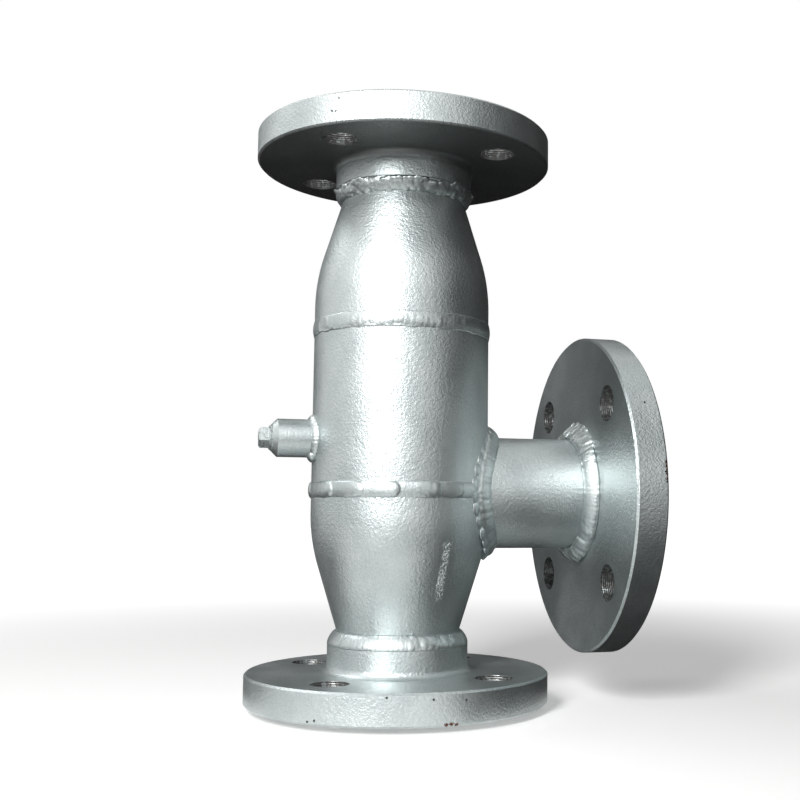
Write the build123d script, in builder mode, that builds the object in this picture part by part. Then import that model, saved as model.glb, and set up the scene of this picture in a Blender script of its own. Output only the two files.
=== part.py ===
from build123d import *
from math import cos, pi, radians, sin
import os

# Steam and water mixer, in millimetres with +Z up.
# The origin is the centre of the bottom flange's sealing face. Water runs up the
# Z axis, the steam branch points along +X and the plugged boss along -X.

# Water flanges: hubbed, one at each end of the vessel
water_flange_od = 150
water_plate = 15
water_face_od = 88
water_bolt_circle = 110
hub_shoulder = 6.5
hub_length = 13
hub_root_radius = 3.5

# Steam flange: flat, slipped over the branch pipe
steam_flange_od = 165
steam_plate = 16
steam_face_od = 102
steam_bolt_circle = 125

# What the three flanges have in common
face_rise = 3
bolt_count = 4
bolt_hole = 18
rim_break = 1

# Shell: two reducers butt welded to a straight barrel
shell_od = 88.9
shell_wall = 4
neck_od = 57
barrel_length = 79.5
reducer_length = 75
reducer_skirt = 23.5
reducer_knuckle = 90
upper_trim = 3.5
root_gap = 2

# Perforated water tube
tube_od = 45
tube_wall = 3
tube_slip = 0.5
tube_setback = 5
jet_diameter = 6
jet_rise = 40
jet_drill_length = 16
jet_rows = 7
jets_per_row = 6
jet_pitch = 21
first_jet_row = 72

# Steam branch
branch_od = 57
branch_wall = 3.5
branch_slip = 0.5
branch_setback = 5
branch_height = 106.5
branch_reach = 114

# Plugged boss, a small tapped half coupling
boss_od = 19
boss_reach = 64.5
boss_height = 132.5
boss_break = 2.4
boss_thread_od = 13.2
thread_slack = 0.05
barrel_tapping = 10
plug_engagement = 11
plug_stand_out = 1.8
plug_collar_break = 1.4
plug_square = 7.5
plug_head = 4.7
plug_break = 0.8
plug_turn = 28

# Weld beads
girth_bead_width = 8
girth_bead_crown = 0.7
hub_bead_leg = 6.8
hub_bead_crown = 0.6
saddle_bead_leg = 5.8
flange_bead_leg = 6.5
flange_bead_crown = 1
boss_bead_leg = 2.6
bore_bead_leg = 3.2
bore_bead_crown = 0.5
bore_bead_root = 0.6

# Levels of the stack, from the bottom sealing face upwards
flange_height = face_rise + water_plate + hub_length
lower_girth_start = flange_height + reducer_length
barrel_start = lower_girth_start + root_gap
barrel_end = barrel_start + barrel_length
upper_girth_end = barrel_end + root_gap
upper_reducer_length = reducer_length - upper_trim
upper_hub_end = upper_girth_end + upper_reducer_length
total_height = upper_hub_end + flange_height

# Radii and slopes that several pieces share
shell_radius = shell_od / 2
shell_bore = shell_radius - shell_wall
cone_slope = (shell_od - neck_od) / 2 / (reducer_length - reducer_skirt)
upper_end_radius = neck_od / 2 + upper_trim * cone_slope
hub_radius = neck_od / 2 + hub_shoulder
water_bore = tube_od + 2 * tube_slip
steam_bore = branch_od + 2 * branch_slip
branch_bore = branch_od - 2 * branch_wall

# Where each flange's sealing face lies, looking into the metal
bottom_face = Plane.XY
top_face = Plane(origin=(0, 0, total_height), x_dir=(1, 0, 0), z_dir=(0, 0, -1))
steam_face = Plane(origin=(branch_reach, 0, branch_height), x_dir=(0, 1, 0), z_dir=(-1, 0, 0))
branch_section = Plane(origin=(0, 0, branch_height), x_dir=(0, 1, 0), z_dir=(1, 0, 0))
boss_section = Plane(origin=(0, 0, boss_height), x_dir=(0, 1, 0), z_dir=(-1, 0, 0))


def raised_face_flange(face, rim_od, plate, face_od, bolt_circle, bore, hub_od=0, hub=0):
    """A bolted flange on the given sealing face, with a hub behind it where one is asked for."""
    with BuildPart() as flange:
        with BuildSketch(face):
            Circle(face_od / 2)
        extrude(amount=face_rise)
        with BuildSketch(face.offset(face_rise)):
            Circle(rim_od / 2)
        rim = extrude(amount=plate)
        chamfer(rim.edges().filter_by(GeomType.CIRCLE), rim_break)
        if hub:
            back = face.offset(face_rise + plate)
            with BuildSketch(back):
                Circle(hub_od / 2)
            extrude(amount=hub)
            circles = flange.edges().filter_by(GeomType.CIRCLE)
            behind_rim = circles.filter_by_position(
                Axis(back.origin, back.z_dir), -rim_break / 2, rim_break / 2
            )
            fillet(behind_rim.sort_by(SortBy.RADIUS)[0], hub_root_radius)
        with BuildSketch(face):
            Circle(bore / 2)
            with PolarLocations(bolt_circle / 2, bolt_count, start_angle=180 / bolt_count):
                Circle(bolt_hole / 2)
        extrude(amount=face_rise + plate + hub, mode=Mode.SUBTRACT)
    return flange.part


def reducer(large_end, up, length):
    """A concentric reducer from its large end at the given level, narrowing up (1) or down (-1)."""
    end_radius = shell_radius - (length - reducer_skirt) * cone_slope
    with BuildPart() as cone:
        with BuildSketch(Plane.XZ):
            with BuildLine():
                FilletPolyline(
                    (shell_radius, large_end),
                    (shell_radius, large_end + up * reducer_skirt),
                    (end_radius, large_end + up * length),
                    radius=reducer_knuckle,
                )
                Polyline(
                    (end_radius, large_end + up * length),
                    (0, large_end + up * length),
                    (0, large_end),
                    (shell_radius, large_end),
                )
            make_face()
        revolve(axis=Axis.Z)
        ends = cone.faces().filter_by(GeomType.PLANE)
        offset(amount=-shell_wall, openings=ends)
    return cone.part


def girth_weld(start):
    """A butt weld that fills the root gap above the given level and crowns over both pipe ends."""
    toe = (girth_bead_width - root_gap) / 2
    with BuildPart() as weld:
        with BuildSketch(Plane.XZ):
            with BuildLine():
                Polyline(
                    (shell_radius, start - toe),
                    (shell_radius, start),
                    (shell_bore, start),
                    (shell_bore, start + root_gap),
                    (shell_radius, start + root_gap),
                    (shell_radius, start + root_gap + toe),
                )
                ThreePointArc(
                    (shell_radius, start - toe),
                    (shell_radius + girth_bead_crown, start + root_gap / 2),
                    (shell_radius, start + root_gap + toe),
                )
            make_face()
        revolve(axis=Axis.Z)
    return weld.part


def crowned_bead(section, corners, crown):
    """Turns a bead whose section has the given corners; its last side, back to the first, is crowned."""
    first, last = Vector(*corners[0]), Vector(*corners[-1])
    across = (last - first).normalized()
    middle = (first + last) / 2 + Vector(across.Y, -across.X) * crown
    with BuildPart() as bead:
        with BuildSketch(section):
            with BuildLine():
                Polyline(*corners)
                ThreePointArc(last, middle, first)
            make_face()
        revolve(axis=Axis(section.origin, section.y_dir))
    return bead.part


def radial_section(face):
    """The half plane through a face's axis, read as radius and depth below the face."""
    return Plane(origin=face.origin, x_dir=face.x_dir, z_dir=-face.y_dir)


def hub_weld(face, end_radius):
    """The fillet weld from a hub's shoulder up onto the reducer that stands on it."""
    toe_radius = end_radius + hub_bead_leg * cone_slope
    corners = [
        (hub_radius, flange_height),
        (end_radius, flange_height),
        (toe_radius, flange_height + hub_bead_leg),
    ]
    return crowned_bead(radial_section(face), corners, hub_bead_crown)


def bore_weld(face, pipe_radius, wall, slip, setback):
    """The seal weld inside a flange's bore, between the bore and the end of its pipe."""
    corners = [
        (pipe_radius - wall + bore_bead_root, setback),
        (pipe_radius + slip, setback),
        (pipe_radius + slip, setback - bore_bead_leg),
    ]
    return crowned_bead(radial_section(face), corners, bore_bead_crown)


def set_on_weld(section, pipe_od, reach, leg):
    """The bead round a pipe set on the shell: what a chamfer adds in the corner between the two."""
    with BuildPart() as joined:
        add(shell_outside.part)
        with BuildSketch(section):
            Circle(pipe_od / 2)
        extrude(amount=reach)
    with BuildPart() as bead:
        add(joined.part)
        chamfer(bead.edges().filter_by(GeomType.BSPLINE), leg)
        add(joined.part, mode=Mode.SUBTRACT)
    return bead.part


def name_and_write(part, name):
    """Labels a finished piece and writes its own file."""
    part.label = name
    export_step(part, "parts/" + name + ".step")


# The vessel's outside as one solid, which the branch and the boss are cut to fit
with BuildPart() as shell_outside:
    with BuildSketch(Plane.XZ):
        with BuildLine():
            FilletPolyline(
                (neck_od / 2, flange_height),
                (shell_radius, lower_girth_start - reducer_skirt),
                (shell_radius, barrel_end),
                radius=reducer_knuckle,
            )
            Polyline(
                (shell_radius, barrel_end),
                (0, barrel_end),
                (0, flange_height),
                (neck_od / 2, flange_height),
            )
        make_face()
    revolve(axis=Axis.Z)

with BuildPart() as branch_outside:
    with BuildSketch(branch_section):
        Circle(branch_od / 2)
    extrude(amount=branch_reach - branch_setback)
    add(shell_outside.part, mode=Mode.SUBTRACT)

with BuildPart() as branch_port:
    with BuildSketch(branch_section):
        Circle(branch_bore / 2)
    extrude(amount=branch_reach)

with BuildPart() as boss_outside:
    with BuildSketch(boss_section):
        Circle(boss_od / 2)
    extrude(amount=boss_reach)
    chamfer(boss_outside.edges().sort_by(Axis.X)[0], boss_break)
    add(shell_outside.part, mode=Mode.SUBTRACT)

# Flanges
water_sizes = (water_flange_od, water_plate, water_face_od, water_bolt_circle, water_bore)
bottom_flange = raised_face_flange(bottom_face, *water_sizes, 2 * hub_radius, hub_length)
top_flange = raised_face_flange(top_face, *water_sizes, 2 * hub_radius, hub_length)
branch_flange = raised_face_flange(
    steam_face, steam_flange_od, steam_plate, steam_face_od, steam_bolt_circle, steam_bore
)

# Shell pieces, with the steam port and the tapping through their walls
with BuildPart() as lower_reducer:
    add(reducer(lower_girth_start, -1, reducer_length))
    add(branch_port.part, mode=Mode.SUBTRACT)

with BuildPart() as barrel:
    with BuildSketch(Plane.XY.offset(barrel_start)):
        Circle(shell_radius)
        Circle(shell_bore, mode=Mode.SUBTRACT)
    extrude(amount=barrel_length)
    add(branch_port.part, mode=Mode.SUBTRACT)
    with BuildSketch(boss_section):
        Circle(barrel_tapping / 2)
    extrude(amount=boss_reach, mode=Mode.SUBTRACT)

upper_reducer = reducer(upper_girth_end, 1, upper_reducer_length)

# Branch pipe, and the weld round its saddle
with BuildPart() as branch_pipe:
    add(branch_outside.part)
    add(branch_port.part, mode=Mode.SUBTRACT)

branch_saddle_weld = set_on_weld(branch_section, branch_od, branch_reach, saddle_bead_leg)

# The lower girth weld stops at the branch and its saddle weld
with BuildPart() as lower_girth_weld:
    add(girth_weld(lower_girth_start))
    add(branch_port.part, mode=Mode.SUBTRACT)
    add(branch_outside.part, mode=Mode.SUBTRACT)
    add(branch_saddle_weld, mode=Mode.SUBTRACT)

upper_girth_weld = girth_weld(barrel_end)

# Welds at the hubs and in the bores
bottom_hub_weld = hub_weld(bottom_face, neck_od / 2)
top_hub_weld = hub_weld(top_face, upper_end_radius)
tube_end = (tube_od / 2, tube_wall, tube_slip, tube_setback)
bottom_bore_weld = bore_weld(bottom_face, *tube_end)
top_bore_weld = bore_weld(top_face, *tube_end)
branch_bore_weld = bore_weld(steam_face, branch_od / 2, branch_wall, branch_slip, branch_setback)

# Fillet weld between the branch pipe and the back of its flange
steam_back = face_rise + steam_plate
branch_flange_weld = crowned_bead(
    radial_section(steam_face),
    [
        (branch_od / 2 + flange_bead_leg, steam_back),
        (branch_od / 2, steam_back),
        (branch_od / 2, steam_back + flange_bead_leg),
    ],
    flange_bead_crown,
)

# Water tube, with staggered rows of jets that rise inwards
jet_places = []
for row in range(jet_rows):
    for place in range(jets_per_row):
        turn = 2 * pi * (place + row % 2 / 2) / jets_per_row
        outwards = Vector(cos(turn), sin(turn), 0)
        rising = -outwards * cos(radians(jet_rise)) + Vector(0, 0, sin(radians(jet_rise)))
        middle = outwards * (tube_od - tube_wall) / 2 + Vector(0, 0, first_jet_row + row * jet_pitch)
        jet_places.append(Plane(origin=middle, z_dir=rising))

with BuildPart() as water_tube:
    with BuildSketch(Plane.XY.offset(tube_setback)):
        Circle(tube_od / 2)
        Circle(tube_od / 2 - tube_wall, mode=Mode.SUBTRACT)
    extrude(amount=total_height - 2 * tube_setback)
    with Locations(*jet_places):
        Cylinder(jet_diameter / 2, jet_drill_length, mode=Mode.SUBTRACT)

# Boss, its weld, and the plug screwed into it
with BuildPart() as plug_boss:
    add(boss_outside.part)
    with BuildSketch(boss_section):
        Circle(boss_thread_od / 2 + thread_slack)
    extrude(amount=boss_reach, mode=Mode.SUBTRACT)

plug_boss_weld = set_on_weld(boss_section, boss_od, boss_reach, boss_bead_leg)

with BuildPart() as square_plug:
    with BuildSketch(boss_section.offset(boss_reach - plug_engagement)):
        Circle(boss_thread_od / 2)
    extrude(amount=plug_engagement + plug_stand_out)
    chamfer(square_plug.edges().sort_by(Axis.X)[0], plug_collar_break)
    with BuildSketch(boss_section.offset(boss_reach + plug_stand_out)):
        Rectangle(plug_square, plug_square, rotation=plug_turn)
    extrude(amount=plug_head)
    chamfer(square_plug.faces().sort_by(Axis.X)[0].edges(), plug_break)

os.makedirs("parts", exist_ok=True)
name_and_write(bottom_flange, "bottom_flange")
name_and_write(bottom_hub_weld, "bottom_hub_weld")
name_and_write(lower_reducer.part, "lower_reducer")
name_and_write(lower_girth_weld.part, "lower_girth_weld")
name_and_write(barrel.part, "barrel")
name_and_write(upper_girth_weld, "upper_girth_weld")
name_and_write(upper_reducer, "upper_reducer")
name_and_write(top_hub_weld, "top_hub_weld")
name_and_write(top_flange, "top_flange")
name_and_write(branch_pipe.part, "branch_pipe")
name_and_write(branch_saddle_weld, "branch_saddle_weld")
name_and_write(branch_flange_weld, "branch_flange_weld")
name_and_write(branch_flange, "branch_flange")
name_and_write(plug_boss.part, "plug_boss")
name_and_write(plug_boss_weld, "plug_boss_weld")
name_and_write(square_plug.part, "square_plug")
name_and_write(water_tube.part, "water_tube")
name_and_write(bottom_bore_weld, "bottom_bore_weld")
name_and_write(top_bore_weld, "top_bore_weld")
name_and_write(branch_bore_weld, "branch_bore_weld")
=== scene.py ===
import math
import random

import bpy
from mathutils import Matrix, Vector


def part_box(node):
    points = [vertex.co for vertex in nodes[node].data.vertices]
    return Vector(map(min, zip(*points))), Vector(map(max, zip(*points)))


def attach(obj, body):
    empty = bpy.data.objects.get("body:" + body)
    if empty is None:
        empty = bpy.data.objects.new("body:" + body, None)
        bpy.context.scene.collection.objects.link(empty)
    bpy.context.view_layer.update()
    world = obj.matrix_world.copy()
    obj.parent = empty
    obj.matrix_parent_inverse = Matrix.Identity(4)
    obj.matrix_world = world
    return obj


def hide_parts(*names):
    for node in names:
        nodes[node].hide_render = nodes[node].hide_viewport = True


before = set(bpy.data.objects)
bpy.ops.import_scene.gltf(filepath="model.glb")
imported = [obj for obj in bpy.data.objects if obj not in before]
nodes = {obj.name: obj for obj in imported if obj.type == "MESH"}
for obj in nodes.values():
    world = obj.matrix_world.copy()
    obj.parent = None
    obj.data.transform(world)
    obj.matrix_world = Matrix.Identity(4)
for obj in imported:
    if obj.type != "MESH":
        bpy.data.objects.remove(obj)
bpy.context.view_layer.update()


# Water tube. A drawn tube of mild steel runs from flange to flange inside the vessel, drilled
# with rows of jets that rise inwards. It is welded in before the spraying and hidden by the
# shell, so it stays bare: grey, with faint draw marks along it.
class Wire:
    """A value on its way through a material's nodes, so that shader maths reads as plain sums."""

    tree = None

    def __init__(self, socket):
        self.socket = socket

    @classmethod
    def node(cls, kind, settings=None, out=0, **inputs):
        """Adds one node with its settings, joins its sockets, and returns the output asked for."""
        node = cls.tree.nodes.new("ShaderNode" + kind)
        for name, value in (settings or {}).items():
            setattr(node, name, value)
        for name, value in inputs.items():
            key = int(name[1:]) if name[0] == "i" and name[1:].isdigit() else name.replace("_", " ")
            if isinstance(value, Wire):
                cls.tree.links.new(value.socket, node.inputs[key])
            else:
                node.inputs[key].default_value = value
        return cls(node.outputs[out])

    def maths(self, operation, other=0.0, flip=False):
        pair = (other, self) if flip else (self, other)
        return Wire.node("Math", {"operation": operation}, i0=pair[0], i1=pair[1])

    def __add__(self, other):
        return self.maths("ADD", other)

    def __radd__(self, other):
        return self.maths("ADD", other)

    def __sub__(self, other):
        return self.maths("SUBTRACT", other)

    def __rsub__(self, other):
        return self.maths("SUBTRACT", other, flip=True)

    def __mul__(self, other):
        return self.maths("MULTIPLY", other)

    def __rmul__(self, other):
        return self.maths("MULTIPLY", other)

    def over(self, low, high):
        """Rises smoothly from 0 at the low value to 1 at the high one."""
        kind = {"interpolation_type": "SMOOTHSTEP"}
        return Wire.node("MapRange", kind, Value=self, From_Min=low, From_Max=high)

    def into(self, node, name):
        """Joins this value to a named socket of a finished node."""
        Wire.tree.links.new(self.socket, node.inputs[name])


def mixed(factor, first, second):
    """The first colour where the factor is 0, the second where it is 1."""
    return Wire.node("Mix", {"data_type": "RGBA"}, out=2, i0=factor, i6=first, i7=second)


def grain(place, size, detail=2.0, roughness=0.5):
    """Noise whose lumps are about so many metres across."""
    return Wire.node("TexNoise", Vector=place, Scale=1 / size, Detail=detail, Roughness=roughness)


def new_finish(name, metallic):
    """Starts a material, and returns it with its shader and the place on the vessel."""
    material = bpy.data.materials.new(name)
    material.use_nodes = True
    Wire.tree = material.node_tree
    shader = material.node_tree.nodes["Principled BSDF"]
    shader.inputs["Metallic"].default_value = metallic
    return material, shader, Wire.node("TexCoord", out="Object")


def lay_on(shader, colour, roughness, relief):
    """Joins a finish to its shader. The relief is in millimetres."""
    colour.into(shader, "Base Color")
    roughness.into(shader, "Roughness")
    Wire.node("Bump", Strength=1.0, Distance=0.001, Height=relief).into(shader, "Normal")


def dress(names, material):
    """Gives the named pieces of the model a finished material."""
    for name in names:
        nodes[name].data.materials.clear()
        nodes[name].data.materials.append(material)


STEEL_DARK = (0.27, 0.265, 0.26, 1)
STEEL_LIGHT = (0.46, 0.455, 0.445, 1)
DRAW_MARK = 0.0009
DRAW_LENGTH = 0.04

tube_steel, shader, place = new_finish("tube_steel", 0.9)
drawn = Wire.node("Mapping", Vector=place, Scale=(1, 1, DRAW_MARK / DRAW_LENGTH))
marks = grain(drawn, DRAW_MARK, 3.0)
film = grain(place, 0.012, 4.0)
lay_on(
    shader,
    mixed(film.over(0.3, 0.7), STEEL_DARK, STEEL_LIGHT),
    0.34 + 0.16 * marks,
    0.03 * marks,
)
dress(["water_tube"], tube_steel)


# Water flanges. Two forged steel flanges with a short hub, turned all over, drilled for four bolts
# and sprayed silver in the built-up vessel. The spray missed the bores and the raised faces, which
# a pointed tool has cut in fine rings. Painted shade darkens the bolt holes, with patches left at
# the paint's colour as painted glints, and it darkens the back of the top flange's plate.
PAINT_DEEP = (0.440, 0.487, 0.487, 1)
PAINT_PALE = (0.517, 0.562, 0.559, 1)
PAINT_FLECK = (0.695, 0.731, 0.728, 1)
PAINT_METAL = 0.95


def silver_paint(place, rough=1.0):
    """Aluminium paint sprayed thick: its colour, its roughness, and its relief in millimetres."""
    cloud = grain(place, 0.022, 3.0)
    speck = grain(place, 0.0008, 2.0, 0.6)
    lumps = grain(place, 0.0015, 3.0, 0.6)
    shade = mixed(cloud.over(0.35, 0.65), PAINT_DEEP, PAINT_PALE)
    colour = mixed(speck.over(0.35, 0.75) * 0.35, shade, PAINT_FLECK)
    return colour, 0.34 + 0.12 * cloud, (0.25 * rough) * lumps + (0.12 * rough) * speck


def part_of(vector, letter):
    """One coordinate of a vector."""
    return Wire.node("SeparateXYZ", out=letter, Vector=vector)


def spots(place, points, size):
    """1 within ragged spots of about the given radius round the points, in metres."""
    ragged = (grain(place, 0.0009, 3.0, 0.7) - 0.5) * (2.4 * size)
    mask = 0
    for point in points:
        gap = Wire.node("VectorMath", {"operation": "DISTANCE"}, out="Value", i0=place, i1=point)
        spot = 1 - (gap + ragged).over(0.6 * size, size)
        mask = spot if mask == 0 else mask.maths("MAXIMUM", spot)
    return mask


def on_rim(compass, level, radius):
    """A point on a water flange's rim: degrees round from +X, and a level in millimetres."""
    turn = math.radians(compass)
    return Vector((radius * math.cos(turn), radius * math.sin(turn), level / 1000))


PIT_COLOUR = (0.05, 0.05, 0.05, 1)
RUST_COLOUR = (0.11, 0.045, 0.025, 1)
# Painted shade laid in the bolt holes.
HOLE_SHADE_COLOUR = (0.20, 0.20, 0.195, 1)
FACE_SKIN = 0.0004
FACE_RINGS = 0.0008
DRILL_RINGS = 0.0011
BOLT_HOLE = 0.018
PLATE_BACK = 0.018
# Painted shade laid on the back of the top flange's plate.
UNDERSIDE_SHADE_COLOUR = (0.07, 0.07, 0.065, 1)


def flange_finish(name, turn, shift, bolt_circle, bore, pits, rust, underside_shade=0.0, pit_size=0.0006):
    """A flange's finish, which lays painted shade on the back of its plate by the given share.

    The turn and shift bring the flange to face down, with its sealing face at level 0.
    """
    material, shader, place = new_finish(name, PAINT_METAL)
    stood = Wire.node("Mapping", Vector=place, Rotation=turn, Location=shift)
    x, y, depth = (part_of(stood, letter) for letter in "XYZ")
    radius = (x * x + y * y).maths("SQRT")
    hole_at = bolt_circle / 2 * math.sqrt(0.5)
    across = x.maths("ABSOLUTE") - hole_at
    along = y.maths("ABSOLUTE") - hole_at
    in_hole = 1 - (across * across + along * along).maths("SQRT").over(BOLT_HOLE / 2, BOLT_HOLE / 2 + 0.0003)
    in_bore = 1 - radius.over(bore / 2 + FACE_SKIN / 2, bore / 2 + FACE_SKIN)
    bare = (1 - depth.over(FACE_SKIN / 2, FACE_SKIN)).maths("MAXIMUM", in_bore)
    colour, roughness, relief = silver_paint(place)
    # Painted shade: a near-black colour on the back of the plate, where the top flange shades its own underside, with
    # the roughness raised there.
    if underside_shade:
        behind = depth.over(PLATE_BACK - 0.0012, PLATE_BACK) * (1 - depth.over(PLATE_BACK + 0.001, PLATE_BACK + 0.006))
        colour = mixed(underside_shade * behind, colour, UNDERSIDE_SHADE_COLOUR)
        roughness = roughness + 0.12 * behind
    # Painted shade in the bolt holes, with patches of the paint's own colour left in it as painted glints.
    hole_glints = grain(place, 0.0018, 3.0, 0.65).over(0.5, 0.6)
    colour = mixed(in_hole * (1 - 0.75 * hole_glints), colour, HOLE_SHADE_COLOUR)
    film = grain(place, 0.009, 4.0)
    steel = mixed(film.over(0.3, 0.7), STEEL_DARK, STEEL_LIGHT)
    pitted = spots(place, pits, pit_size)
    rusty = spots(place, rust, 2 * pit_size)
    colour = mixed(pitted, mixed(rusty, mixed(bare, colour, steel), RUST_COLOUR), PIT_COLOUR)
    rings = (radius * (2 * math.pi / FACE_RINGS)).maths("SINE")
    drill = (depth * (2 * math.pi / DRILL_RINGS) + 2 * film).maths("SINE")
    relief = relief * (1 - bare) + 0.02 * rings * bare + 0.05 * drill * in_hole
    lay_on(shader, colour, roughness - 0.08 * bare, relief - 0.25 * pitted - 0.15 * rusty)
    return material


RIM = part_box("bottom_flange")[1].x
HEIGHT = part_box("top_flange")[1].z
WATER_CIRCLE = 0.110
WATER_BORE = 0.046
bottom_pits = [on_rim(*mark, RIM) for mark in (
    (-104.5, 16.3), (-88.8, 15.0), (-77.0, 14.1), (-129.8, 5.3), (-132.6, 4.6), (-20, 9), (62, 13), (143, 6),
)]
bottom_rust = [on_rim(*mark, RIM) for mark in ((-84.4, 3.8), (-82.6, 4.2), (-80.8, 3.6), (38, 4), (117, 17))]
top_pits = [on_rim(*mark, RIM) for mark in (
    (-125.2, 285.8), (-127.9, 280.0), (-126.3, 279.7), (-134.1, 274.4), (-91.5, 274.3), (-74.4, 274.2),
    (20, 283), (88, 279), (160, 286),
)]
top_rust = [on_rim(*mark, RIM) for mark in ((51, 274.5), (-8, 288.6))]
UPRIGHT = (0, 0, 0)
bottom_finish = flange_finish(
    "bottom_flange_paint", UPRIGHT, UPRIGHT, WATER_CIRCLE, WATER_BORE, bottom_pits, bottom_rust
)
top_finish = flange_finish(
    "top_flange_paint", (math.pi, 0, 0), (0, 0, HEIGHT), WATER_CIRCLE, WATER_BORE, top_pits, top_rust, 0.75
)
dress(["bottom_flange"], bottom_finish)
dress(["top_flange"], top_finish)


# Bore welds. A small seal weld closes the gap between each flange's bore and the end of the tube
# or pipe in it. They are steel, laid by hand in short ripples, and the spray never reached them.
random.seed(7)
AXIS_UP = Vector((0, 0, 1))


def weld_puddle():
    """One frozen puddle of weld metal, modelled once, a metre each way: a lens cut flat below."""
    bpy.ops.object.select_all(action="DESELECT")
    bpy.ops.mesh.primitive_uv_sphere_add(segments=20, ring_count=12, radius=0.5)
    bpy.ops.object.mode_set(mode="EDIT")
    bpy.ops.mesh.select_all(action="SELECT")
    bpy.ops.transform.resize(value=(1, 1, 2))
    bpy.ops.mesh.bisect(plane_co=(0, 0, -0.35), plane_no=(0, 0, 1), clear_inner=True, use_fill=True)
    bpy.ops.object.mode_set(mode="OBJECT")
    return bpy.context.object


def seat_at(point, along, outward, size, tilt=0.0):
    """Where a puddle lies: X along the seam, Z out of the metal, its leading end tilted up."""
    outward = outward.normalized()
    across = outward.cross(along).normalized()
    along = across.cross(outward)
    turn = Matrix((along, across, outward)).transposed().to_4x4()
    lean = Matrix.Rotation(-math.radians(tilt), 4, "Y")
    return Matrix.Translation(point) @ turn @ lean @ Matrix.Diagonal((*size, 1))


def melt_together(name, node, seats, voxel, finish):
    """Lays puddles on a copy of the plain bead, and melts all into one skin that replaces it."""
    bead = nodes[node].copy()
    bead.data = nodes[node].data.copy()
    bead.name = name
    bpy.context.scene.collection.objects.link(bead)
    bpy.ops.object.select_all(action="DESELECT")
    for seat in seats:
        copy = puddle.copy()
        copy.data = puddle.data.copy()
        copy.data.transform(seat)
        bpy.context.scene.collection.objects.link(copy)
        copy.select_set(True)
    bead.select_set(True)
    bpy.context.view_layer.objects.active = bead
    bpy.ops.object.join()
    bpy.ops.object.mode_set(mode="EDIT")
    bpy.ops.mesh.select_all(action="SELECT")
    bpy.ops.mesh.remove_doubles(threshold=0.000002)
    bpy.ops.object.mode_set(mode="OBJECT")
    skin = bead.modifiers.new("skin", "REMESH")
    skin.mode = "VOXEL"
    skin.voxel_size = voxel
    skin.use_smooth_shade = True
    bpy.ops.object.modifier_apply(modifier=skin.name)
    soft = bead.modifiers.new("soft", "SMOOTH")
    soft.factor = 0.5
    soft.iterations = 3
    bpy.ops.object.modifier_apply(modifier=soft.name)
    for key in list(bead.keys()):
        del bead[key]
    bead.parent = None
    bead.matrix_world = Matrix.Identity(4)
    bead.data.materials.clear()
    bead.data.materials.append(finish)
    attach(bead, "root")
    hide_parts(node)


def on_bead(node, guess):
    """The nearest point of a plain bead's own skin, and the way out of the metal there."""
    found, point, normal, face = nodes[node].closest_point_on_mesh(guess)
    return point, normal


puddle = weld_puddle()

bare_weld, shader, place = new_finish("bare_weld", 0.9)
heat = grain(place, 0.004, 3.0)
lay_on(
    shader,
    mixed(heat.over(0.35, 0.7), (0.20, 0.19, 0.185, 1), (0.40, 0.385, 0.36, 1)),
    0.38 + 0.2 * heat,
    0.05 * grain(place, 0.0008, 2.0),
)

BORE_PUDDLE = (0.0034, 0.0042, 0.0007)
BORE_PITCH = 0.0017
BORE_VOXEL = 0.0003
bores = (
    ("bottom_bore_bead", "bottom_bore_weld", Vector((0, 0, 0)), Vector((0, 0, 1))),
    ("top_bore_bead", "top_bore_weld", Vector((0, 0, HEIGHT)), Vector((0, 0, -1))),
    (
        "branch_bore_bead",
        "branch_bore_weld",
        Vector((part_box("branch_flange")[1].x, 0, sum(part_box("branch_pipe")[end].z for end in (0, 1)) / 2)),
        Vector((-1, 0, 0)),
    ),
)
for name, node, face, inwards in bores:
    low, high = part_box(node)
    radius = (high.y - low.y) / 2
    side = Vector((0, 1, 0))
    rise = inwards.cross(side)
    steps = round(2 * math.pi * radius / BORE_PITCH)
    seats = []
    for step in range(steps):
        turn = 2 * math.pi * (step + random.uniform(-0.2, 0.2)) / steps
        out = side * math.cos(turn) + rise * math.sin(turn)
        along = rise * math.cos(turn) - side * math.sin(turn)
        point, normal = on_bead(node, face + out * (radius - 0.003))
        size = (BORE_PUDDLE[0], BORE_PUDDLE[1] * random.uniform(0.85, 1), BORE_PUDDLE[2])
        seats.append(seat_at(point - normal * 0.0001, along, normal, size, 7))
    melt_together(name, node, seats, BORE_VOXEL, bare_weld)


# Reducers. Two concentric pipe reducers make the shell's shoulders, large ends towards the
# barrel. Hot-formed steel, blasted and sprayed. On the lower one a thin run of paint has dried
# into a streak of bright flecks beside the branch.
STREAK_COMPASS = -69.5
STREAK_LOW = 0.052
STREAK_HIGH = 0.083
STREAK_WIDTH = 0.0026

shell_finish, shader, place = new_finish("shell_paint", PAINT_METAL)
colour, roughness, relief = silver_paint(place)
turn = math.radians(STREAK_COMPASS)
beside = Wire.node(
    "VectorMath", {"operation": "DOT_PRODUCT"}, out="Value", i0=place, i1=(-math.sin(turn), math.cos(turn), 0)
)
before = Wire.node(
    "VectorMath", {"operation": "DOT_PRODUCT"}, out="Value", i0=place, i1=(math.cos(turn), math.sin(turn), 0)
)
level = part_of(place, "Z")
wander = (grain(place, 0.012, 1.0) - 0.5) * 0.004
band = 1 - (beside + wander).maths("ABSOLUTE").over(0.3 * STREAK_WIDTH, STREAK_WIDTH)
height = level.over(STREAK_LOW, STREAK_LOW + 0.008) * (1 - level.over(STREAK_HIGH - 0.003, STREAK_HIGH))
flecks = grain(place, 0.0008, 2.0, 0.6).over(0.5, 0.62) * band * height * before.over(0, 0.01)
lay_on(
    shader,
    mixed(flecks * 0.9, colour, (0.93, 0.95, 0.94, 1)),
    roughness,
    relief + 0.35 * flecks,
)
dress(["lower_reducer", "upper_reducer"], shell_finish)


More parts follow.
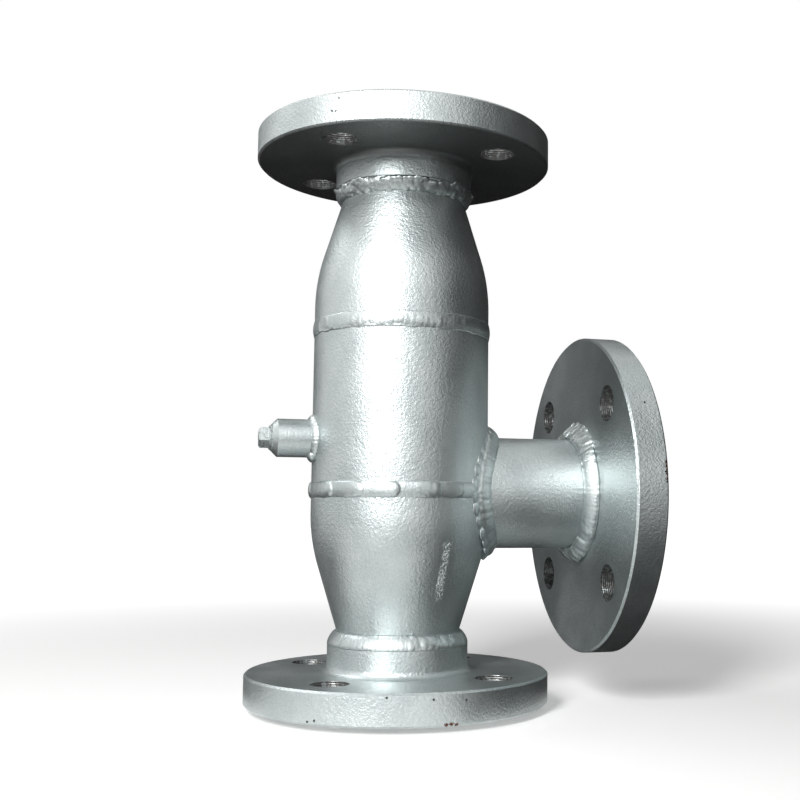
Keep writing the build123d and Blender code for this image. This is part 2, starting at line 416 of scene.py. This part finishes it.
# Barrel. A straight length of the same pipe, between the reducers, with the branch's port in one
# side and a tapped hole opposite. Painted outside, and left as rolled inside.
def pipe_finish(name, turn, shift, outside):
    """Paint outside and bare steel in the bore. The turn and shift bring the pipe upright."""
    material, shader, place = new_finish(name, PAINT_METAL)
    stood = Wire.node("Mapping", Vector=place, Rotation=turn, Location=shift)
    x, y = (part_of(stood, letter) for letter in "XY")
    bare = 1 - (x * x + y * y).maths("SQRT").over(outside - 0.0012, outside - 0.0006)
    colour, roughness, relief = silver_paint(place)
    film = grain(place, 0.009, 4.0)
    steel = mixed(film.over(0.3, 0.7), STEEL_DARK, STEEL_LIGHT)
    lay_on(shader, mixed(bare, colour, steel), roughness, relief * (1 - 0.7 * bare))
    return material


SHELL_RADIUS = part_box("barrel")[1].x
dress(["barrel"], pipe_finish("barrel_paint", UPRIGHT, UPRIGHT, SHELL_RADIUS))


# Girth welds. Two butt welds close the shell, each laid by hand in short runs. The lower one is
# smooth, with a rounded front wherever a run ends on the start of the last. The upper one is
# rougher, with a few ripples at each restart and an uneven lower edge. Painted with the rest.
weld_paint, shader, place = new_finish("weld_paint", PAINT_METAL)
lay_on(shader, *silver_paint(place, 0.6))

GIRTH_PUDDLE = (0.0060, 0.0084, 0.0012)
GIRTH_SINK = 0.0004
GIRTH_PITCH = 0.0020
TOE_DROP = 0.0034
TOE_LUMP = (0.0085, 0.0024, 0.0006)
BEAD_VOXEL = 0.00035


def round_compass(degrees):
    """The outward and the anticlockwise direction at a compass reading round the vessel."""
    turn = math.radians(degrees)
    return Vector((math.cos(turn), math.sin(turn), 0)), Vector((-math.sin(turn), math.cos(turn), 0))


def near(degrees, marks, reach):
    """1 at any of the marks, falling to 0 a reach or two away from them."""
    gaps = [abs((degrees - mark + 180) % 360 - 180) for mark in marks]
    return math.exp(-((min(gaps) / reach) ** 2))


UPPER_RIPPLES = (-158, -103, -90.5, -58.6, -42.4, 10, 55, 96, 140)
level = sum(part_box("upper_girth_weld")[end].z for end in (0, 1)) / 2
steps = round(2 * math.pi * SHELL_RADIUS / GIRTH_PITCH)
seats = []
for step in range(steps):
    compass = 360 * (step + random.uniform(-0.3, 0.3)) / steps
    out, along = round_compass(compass)
    strong = near(compass, UPPER_RIPPLES, 4)
    lift = 0.0001 * strong + random.uniform(-0.00012, 0.00008) - GIRTH_SINK
    point = out * (SHELL_RADIUS + lift) + AXIS_UP * (level + random.uniform(-0.0009, -0.0002))
    across = GIRTH_PUDDLE[1] * random.uniform(0.86, 1.0) * (1 - 0.1 * strong)
    size = (GIRTH_PUDDLE[0] * (1 + 0.1 * strong), across, GIRTH_PUDDLE[2])
    seats.append(seat_at(point, along, out, size, 1 + 6 * strong))
    if step % 2:
        toe = out * (SHELL_RADIUS - 0.0002) + AXIS_UP * (level - TOE_DROP + random.uniform(-0.0005, 0.0003))
        seats.append(seat_at(toe, along, out, TOE_LUMP, random.uniform(-2, 2)))
melt_together("upper_girth_bead", "upper_girth_weld", seats, BEAD_VOXEL, weld_paint)

LOWER_FRONTS = (-150, -127, -104.1, -78.4, -61.6, 55, 75, 101, 128, 155, 178)
RUN_RISE = 0.00085
RUN_TAPER = 16
RUN_NOSE = 5
NOSE_NARROWS = 0.16
BRANCH_SPAN = 44
level = sum(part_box("lower_girth_weld")[end].z for end in (0, 1)) / 2
steps = round(2 * math.pi * SHELL_RADIUS / GIRTH_PITCH * 2)
seats = []
for step in range(steps):
    compass = 360 * step / steps - 180
    if abs(compass) < BRANCH_SPAN:
        continue
    out, along = round_compass(compass)
    behind = min((front - compass) % 360 for front in LOWER_FRONTS)
    lift = RUN_RISE * max(0, 1 - behind / RUN_TAPER) + random.uniform(-0.00004, 0.00004) - GIRTH_SINK
    point = out * (SHELL_RADIUS + lift) + AXIS_UP * (level + random.uniform(-0.0001, 0.0001))
    across = GIRTH_PUDDLE[1] * random.uniform(0.96, 1) * (1 - NOSE_NARROWS * max(0, 1 - behind / RUN_NOSE))
    seats.append(seat_at(point, along, out, (across * 0.95, across, GIRTH_PUDDLE[2]), 1))
melt_together("lower_girth_bead", "lower_girth_weld", seats, BEAD_VOXEL, weld_paint)


# Hub welds. A fillet weld joins each reducer to the shoulder of its hub. The bottom one is nearly
# flat, with one slanting ridge where the run was taken up again and a rough stretch at the front
# right. The top one was laid overhead, and stands in soft lumps all round.
HUB_PUDDLE = (0.0068, 0.0080, 0.0013)
HUB_PITCH = 0.0024
HUB_LEAN = 0.57
HUB_SINK = 0.0006
BOTTOM_ROUGH = (-82, -66, -50, -36, 20, 78, 150)
BOTTOM_RIDGES = (-149, 95)
RIDGE = (0.0090, 0.0026, 0.0009)
hub_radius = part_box("bottom_hub_weld")[1].x
steps = round(2 * math.pi * hub_radius / HUB_PITCH)
hub_welds = (
    ("bottom_hub_weld", 1, 0.0, 0.0036, (-0.0027, 0.0027)),
    ("top_hub_weld", -1, 0.75, 0.0054, (-0.0027, 0.0040)),
)
for node, upwards, all_rough, largest, spread in hub_welds:
    low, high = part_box(node)
    level = (low.z + high.z) / 2 + upwards * 0.0028
    seats = []
    for step in range(steps):
        compass = 360 * (step + random.uniform(-0.3, 0.3)) / steps
        out, along = round_compass(compass)
        point = on_bead(node, out * (hub_radius + 0.002) + AXIS_UP * level)[0]
        normal = (out + HUB_LEAN * upwards * AXIS_UP).normalized()
        across = normal.cross(along)
        rough = max(all_rough, near(compass, BOTTOM_ROUGH, 8) * (1 - all_rough))
        lift = rough * random.uniform(-0.0002, 0.0003) - HUB_SINK
        slide = across * (rough * random.uniform(-0.0008, 0.0008))
        width = HUB_PUDDLE[1] * (1 - 0.3 * rough * random.random())
        seats.append(seat_at(point + normal * lift + slide, along, normal, (HUB_PUDDLE[0], width, HUB_PUDDLE[2]), 1))
        for lump in range(round(2 * rough)):
            aside = across * random.uniform(*spread) + along * random.uniform(-0.001, 0.001)
            length = largest * random.uniform(0.55, 1)
            size = (length, length * random.uniform(0.6, 1), length * 0.17)
            seats.append(seat_at(point + aside, along, normal, size, random.uniform(-4, 4)))
    for compass in BOTTOM_RIDGES if not all_rough else ():
        out, along = round_compass(compass)
        point = on_bead(node, out * (hub_radius + 0.002) + AXIS_UP * level)[0]
        seats.append(seat_at(point, (along + 0.75 * AXIS_UP).normalized(), out + HUB_LEAN * AXIS_UP, RIDGE))
    melt_together(node.replace("weld", "bead"), node, seats, BEAD_VOXEL, weld_paint)


# Branch pipe. A short steel pipe, its end cut to the saddle of the barrel and the lower reducer
# and set on the shell round the steam port. Painted outside, bare in the bore.
branch_low, branch_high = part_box("branch_pipe")
BRANCH_RADIUS = (branch_high.y - branch_low.y) / 2
BRANCH_LEVEL = (branch_high.z + branch_low.z) / 2
BRANCH_TURN = (0, math.pi / 2, 0)
BRANCH_SHIFT = (-BRANCH_LEVEL, 0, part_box("branch_flange")[1].x)
dress(["branch_pipe"], pipe_finish("branch_paint", BRANCH_TURN, BRANCH_SHIFT, BRANCH_RADIUS))


# Saddle weld. It runs round the branch where the pipe meets the shell. It is built up in small
# scallops on the shell's side, is thickest at the top, and hangs in a drop at the bottom.
SADDLE_PUDDLE = (0.0072, 0.0092, 0.0016)
SADDLE_PITCH = 0.0022
SCALLOP = (0.0078, 0.0058, 0.0014)
SCALLOP_OUT = 0.0036
SCALLOP_EVERY = 3


def round_pipe(turn, level):
    """The outward direction round a pipe that lies along X, and the direction along its seam."""
    return Vector((0, math.cos(turn), math.sin(turn))), Vector((0, -math.sin(turn), math.cos(turn)))


def set_on_seam(turn, radius, level, side):
    """A guess at the seam of a pipe set on the shell, just outside its bead."""
    out, along = round_pipe(turn, level)
    reach = math.sqrt(max(0.0, SHELL_RADIUS ** 2 - (radius * out.y) ** 2))
    return Vector((side * (reach + 0.004), out.y * (radius + 0.004), level + out.z * (radius + 0.004))), along


steps = round(2 * math.pi * BRANCH_RADIUS * 1.15 / SADDLE_PITCH)
seats = []
for step in range(steps):
    turn = 2 * math.pi * (step + random.uniform(-0.25, 0.25)) / steps
    guess, along = set_on_seam(turn, BRANCH_RADIUS, BRANCH_LEVEL, 1)
    point = on_bead("branch_saddle_weld", guess)[0]
    out = round_pipe(turn, BRANCH_LEVEL)[0]
    shell_out = Vector((point.x, point.y, 0)).normalized()
    normal = (out + shell_out).normalized()
    heavy = max(0.0, abs(math.sin(turn)) - 0.55) * 2
    size = (SADDLE_PUDDLE[0], SADDLE_PUDDLE[1] * random.uniform(0.9, 1.05), SADDLE_PUDDLE[2])
    lift = -0.0007 + 0.0004 * heavy + random.uniform(-0.0001, 0.00015)
    seats.append(seat_at(point + normal * lift, along, normal, size, 3))
    if step % SCALLOP_EVERY == 0:
        reach = BRANCH_RADIUS + SCALLOP_OUT
        toe = Vector((math.sqrt(SHELL_RADIUS ** 2 - (reach * out.y) ** 2), reach * out.y, BRANCH_LEVEL + reach * out.z))
        point = on_bead("branch_saddle_weld", toe)[0]
        seats.append(seat_at(point - shell_out * 0.0003, along, shell_out + 0.3 * out, SCALLOP, 3))
drop, along = set_on_seam(-math.pi / 2, BRANCH_RADIUS, BRANCH_LEVEL, 1)
point, normal = on_bead("branch_saddle_weld", drop)
seats.append(seat_at(point - normal * 0.0004, Vector((0, 1, 0)), normal, (0.011, 0.0075, 0.0026)))
melt_together(
    "branch_saddle_bead", "branch_saddle_weld", seats, BEAD_VOXEL, weld_paint
)


# Branch flange and its fillet weld. A flat forged flange slipped over the pipe, drilled for four
# bolts and sprayed like the others, with a chipped edge where it was set down on the ground. The
# weld behind it is smooth at the front, and stands in coarse ripples at its top and its bottom.
STEAM_CIRCLE = 0.125
STEAM_BORE = 0.058
STEAM_RIM = (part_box("branch_flange")[1].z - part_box("branch_flange")[0].z) / 2
rim_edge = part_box("branch_flange")[1].x - 0.0036


def on_steam_rim(degrees, reach):
    """A point on the branch flange's rim: degrees up from -Y, and how far along X."""
    turn = math.radians(degrees)
    return Vector((reach, -STEAM_RIM * math.cos(turn), BRANCH_LEVEL + STEAM_RIM * math.sin(turn)))


steam_rust = [on_steam_rim(degrees, rim_edge) for degrees in (4.2, 5.6, 7.2, 8.4, 9.6, 140, 255)]
steam_pits = [on_steam_rim(*mark) for mark in ((3.2, 0.1100), (6.4, 0.1094), (31, 0.104), (118, 0.106), (222, 0.101))]
steam_finish = flange_finish(
    "branch_flange_paint", BRANCH_TURN, BRANCH_SHIFT, STEAM_CIRCLE, STEAM_BORE, steam_pits, steam_rust
)
dress(["branch_flange"], steam_finish)

FILLET_PUDDLE = (0.0072, 0.0092, 0.0014)
FILLET_PITCH = 0.0022
FILLET_SINK = 0.0007
CROWN_FROM = 0.7
CROWN_PUDDLE = (0.0050, 0.0064, 0.0017)
BACKWARDS = Vector((-1, 0, 0))
fillet_low, fillet_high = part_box("branch_flange_weld")
fillet_radius = (fillet_high.y - fillet_low.y) / 2
steps = round(2 * math.pi * fillet_radius / FILLET_PITCH)
seats = []
for step in range(steps):
    turn = 2 * math.pi * (step + random.uniform(-0.25, 0.25)) / steps
    out, along = round_pipe(turn, BRANCH_LEVEL)
    middle = (fillet_low.x + fillet_high.x) / 2 - 0.003
    guess = Vector((middle, out.y * fillet_radius, BRANCH_LEVEL + out.z * fillet_radius))
    point = on_bead("branch_flange_weld", guess)[0]
    normal = (out + BACKWARDS).normalized()
    rough = max(0.0, abs(math.sin(turn)) - 0.5) / 0.5
    lift = rough * random.uniform(0, 0.0013) - FILLET_SINK
    slide = normal.cross(along) * (rough * random.uniform(-0.0012, 0.0012))
    size = (FILLET_PUDDLE[0] * (1 - 0.35 * rough), FILLET_PUDDLE[1] * random.uniform(0.85, 1), FILLET_PUDDLE[2])
    seats.append(seat_at(point + normal * lift + slide, along, normal, size, 1 + 9 * rough))
    if out.z > CROWN_FROM:
        full = 0.45 + 0.55 * (out.z - CROWN_FROM) / (1 - CROWN_FROM)
        reach = fillet_radius + random.uniform(-0.0005, 0.0012) * full
        point = Vector((fillet_high.x, out.y * reach, BRANCH_LEVEL + out.z * reach))
        size = (CROWN_PUDDLE[0], CROWN_PUDDLE[1] * full, CROWN_PUDDLE[2] * full)
        seats.append(seat_at(point, along, BACKWARDS + 0.6 * out, size, 9 * full))
melt_together("branch_flange_bead", "branch_flange_weld", seats, BEAD_VOXEL, weld_paint)


# Plug boss and its weld. A turned and tapped steel boss, set on the barrel opposite the branch. The
# weld round it is thin, with one bright lump below at the front. Both are painted.
BOSS_RADIUS = (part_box("plug_boss")[1].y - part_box("plug_boss")[0].y) / 2
BOSS_LEVEL = sum(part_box("plug_boss")[end].z for end in (0, 1)) / 2
BOSS_PUDDLE = (0.0030, 0.0036, 0.0006)
BOSS_PITCH = 0.0014
BOSS_VOXEL = 0.00025
dress(["plug_boss"], weld_paint)
steps = round(2 * math.pi * BOSS_RADIUS / BOSS_PITCH)
seats = []
for step in range(steps):
    turn = 2 * math.pi * (step + random.uniform(-0.25, 0.25)) / steps
    guess, along = set_on_seam(turn, BOSS_RADIUS, BOSS_LEVEL, -1)
    point, normal = on_bead("plug_boss_weld", guess)
    seats.append(seat_at(point - normal * 0.0001, along, normal, BOSS_PUDDLE, 5))
guess, along = set_on_seam(math.radians(-122), BOSS_RADIUS, BOSS_LEVEL, -1)
point, normal = on_bead("plug_boss_weld", guess)
seats.append(seat_at(point - normal * 0.0003, along, normal, (0.0058, 0.0048, 0.0022)))
melt_together("plug_boss_bead", "plug_boss_weld", seats, BOSS_VOXEL, weld_paint)

bpy.data.objects.remove(puddle)


# Square plug. A malleable iron pipe plug closes the boss. Its head is square and rough from the
# mould, and the paint on it is thin. The last turns of its thread stand out of the boss.
plug_finish, shader, place = new_finish("plug_paint", 0.8)
colour, roughness, relief = silver_paint(place, 1.1)
worn = grain(place, 0.0016, 3.0, 0.6).over(0.52, 0.66)
lay_on(shader, mixed(worn * 0.7, colour, (0.12, 0.115, 0.11, 1)), roughness + 0.1 * worn, relief - 0.1 * worn)
dress(["square_plug"], plug_finish)

THREAD_PITCH = 0.00085
THREAD_DEPTH = 0.00045
THREAD_TURNS = 2
boss_end = -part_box("plug_boss")[0].x
shank_radius = (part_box("square_plug")[1].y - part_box("square_plug")[0].y) / 2
threads = []
for ridge in range(THREAD_TURNS):
    bpy.ops.object.select_all(action="DESELECT")
    bpy.ops.mesh.primitive_circle_add(
        vertices=3, radius=THREAD_DEPTH, location=(0, shank_radius - 0.0002 - 0.0006 * ridge, 0)
    )
    turn_of_thread = bpy.context.object
    bpy.ops.object.transform_apply(location=True)
    bpy.ops.object.mode_set(mode="EDIT")
    bpy.ops.mesh.select_all(action="SELECT")
    bpy.ops.mesh.spin(steps=56, angle=2 * math.pi, center=(0, 0, 0), axis=(1, 0, 0))
    bpy.ops.mesh.select_all(action="SELECT")
    bpy.ops.mesh.remove_doubles(threshold=0.00001)
    bpy.ops.mesh.normals_make_consistent(inside=False)
    bpy.ops.transform.translate(value=(-boss_end - 0.0004 - THREAD_PITCH * ridge, 0, BOSS_LEVEL))
    bpy.ops.object.mode_set(mode="OBJECT")
    threads.append(turn_of_thread)
for turn_of_thread in threads:
    turn_of_thread.select_set(True)
bpy.context.view_layer.objects.active = threads[0]
bpy.ops.object.join()
thread = bpy.context.object
thread.name = "plug_thread"
thread.data.materials.append(plug_finish)
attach(thread, "root")


# The photographer's table. A pale sweep carries the vessel and fades into a white wall. A large
# soft lamp stands to the left of the camera and above it, a weaker one hangs behind, and a dark
# card is curved round the right and the back, so that the silver falls off to that side.
def background_seen():
    """1 for the rays that show the background: the camera's own, and those in shine and glass."""
    camera = Wire.node("LightPath", out="Is Camera Ray")
    shine = Wire.node("LightPath", out="Is Glossy Ray")
    glass = Wire.node("LightPath", out="Is Transmission Ray")
    return camera.maths("MAXIMUM", shine).maths("MAXIMUM", glass)


bpy.context.scene.view_settings.view_transform = "Standard"
CAMERA_PLACE = Vector((-0.11094, -0.55828, 0.09663))
CAMERA_RIGHT = Vector((0.959442, -0.281853, 0.005491))
CAMERA_FORWARD = Vector((0.279917, 0.9548, 0.100022))
CAMERA_LENS = 50.106
CAMERA_SHIFT = -0.125
lens = bpy.data.cameras.new("camera")
lens.lens = CAMERA_LENS
lens.shift_x = CAMERA_SHIFT
lens.clip_start = 0.01
camera = bpy.data.objects.new("camera", lens)
bpy.context.scene.collection.objects.link(camera)
back = -CAMERA_FORWARD.normalized()
up = back.cross(CAMERA_RIGHT).normalized()
camera.matrix_world = Matrix.Translation(CAMERA_PLACE) @ Matrix((up.cross(back), up, back)).transposed().to_4x4()
bpy.context.scene.camera = camera

MIDDLE = Vector((0, 0, 0.15))


def lamp(name, compass, height, distance, size, power):
    """A soft lamp aimed at the vessel. The compass is in degrees from +X towards +Y."""
    data = bpy.data.lights.new(name, "AREA")
    data.shape = "RECTANGLE"
    data.size, data.size_y = size
    data.energy = power
    turn = math.radians(compass)
    place = MIDDLE + Vector((math.cos(turn) * distance, math.sin(turn) * distance, height))
    stand = bpy.data.objects.new(name, data)
    bpy.context.scene.collection.objects.link(stand)
    stand.matrix_world = Matrix.Translation(place) @ (MIDDLE - place).to_track_quat("-Z", "Y").to_matrix().to_4x4()


lamp("key_lamp", -125, 0.55, 1.15, (0.28, 0.6), 19)
lamp("back_lamp", 140, 0.9, 0.8, (0.5, 0.5), 3)

WORLD_DIM = 0.12
world = bpy.data.worlds.new("studio")
world.use_nodes = True
bpy.context.scene.world = world
Wire.tree = world.node_tree
wall = world.node_tree.nodes["Background"]
wall.inputs["Color"].default_value = (1, 1, 1, 1)
(WORLD_DIM + (1 - WORLD_DIM) * background_seen()).into(wall, "Strength")

FLOOR_SIZE = 12
FLOOR_NEAR = 0.25
FLOOR_FAR = 0.9
bpy.ops.object.select_all(action="DESELECT")
bpy.ops.mesh.primitive_plane_add(size=FLOOR_SIZE)
floor = bpy.context.object
floor.name = "floor"
paper, sheet, place = new_finish("floor_paper", 0)
sheet.inputs["Roughness"].default_value = 0.9
seen = background_seen()
far = Wire.node("VectorMath", {"operation": "LENGTH"}, out="Value", i0=place).over(FLOOR_NEAR, FLOOR_FAR)
# Painted shade: to the light it throws back up, the floor is dark grey. Only the camera and reflections see it pale, so
# the undersides stay dark.
mixed(seen * (1 - far), (0.25, 0.25, 0.25, 1), (0.86, 0.86, 0.85, 1)).into(sheet, "Base Color")
sheet.inputs["Emission Strength"].default_value = 1
mixed(seen * (0.30 + 0.70 * far), (0, 0, 0, 1), (1, 1, 1, 1)).into(sheet, "Emission Color")
floor.data.materials.append(paper)

# The card also has a foot lying on the floor all round from close to the vessel, but for a patch left open at the front
# left. Card and foot are seen only in reflections: dark sheets that put painted shade into the shine of the undersides
# and of the right side.
CARD_RADIUS = 1.1
CARD_HEIGHT = 1.5
CARD_LIFT = 0.002
CARD_FOOT = 0.09
CARD_FROM = -55
CARD_TO = 128
FLOOR_OPEN_FROM = -178
FLOOR_OPEN_TO = -75
FLOOR_PATCH = 0.34
bpy.ops.mesh.primitive_cylinder_add(
    vertices=72,
    radius=CARD_RADIUS,
    depth=CARD_HEIGHT,
    end_fill_type="NOTHING",
    location=(0, 0, CARD_HEIGHT / 2 + CARD_LIFT),
)
card = bpy.context.object
card.name = "dark_card"
bpy.ops.object.transform_apply(location=True)
bpy.ops.object.mode_set(mode="EDIT")
bpy.ops.mesh.select_mode(type="EDGE")
bpy.ops.mesh.select_all(action="DESELECT")
bpy.ops.object.mode_set(mode="OBJECT")
for edge in card.data.edges:
    edge.select = all(card.data.vertices[end].co.z < 0.01 for end in edge.vertices)
bpy.ops.object.mode_set(mode="EDIT")
for inner, outer in ((FLOOR_PATCH, CARD_RADIUS), (CARD_FOOT, FLOOR_PATCH)):
    bpy.ops.mesh.extrude_region_move()
    bpy.ops.transform.resize(value=(inner / outer, inner / outer, 1), center_override=(0, 0, 0))
bpy.ops.mesh.select_mode(type="FACE")
bpy.ops.mesh.select_all(action="DESELECT")
bpy.ops.object.mode_set(mode="OBJECT")
for face in card.data.polygons:
    compass = math.degrees(math.atan2(face.center.y, face.center.x))
    if face.center.z > CARD_HEIGHT / 3:
        face.select = not CARD_FROM < compass < CARD_TO
    else:
        inner = math.hypot(face.center.x, face.center.y) < FLOOR_PATCH
        face.select = inner and FLOOR_OPEN_FROM < compass < FLOOR_OPEN_TO
bpy.ops.object.mode_set(mode="EDIT")
bpy.ops.mesh.delete(type="FACE")
bpy.ops.object.mode_set(mode="OBJECT")
card.visible_camera = False
card.visible_diffuse = False
card.visible_shadow = False
cloth, shader, place = new_finish("dark_cloth", 0)
shader.inputs["Base Color"].default_value = (0.03, 0.03, 0.03, 1)
shader.inputs["Roughness"].default_value = 0.9
card.data.materials.append(cloth)
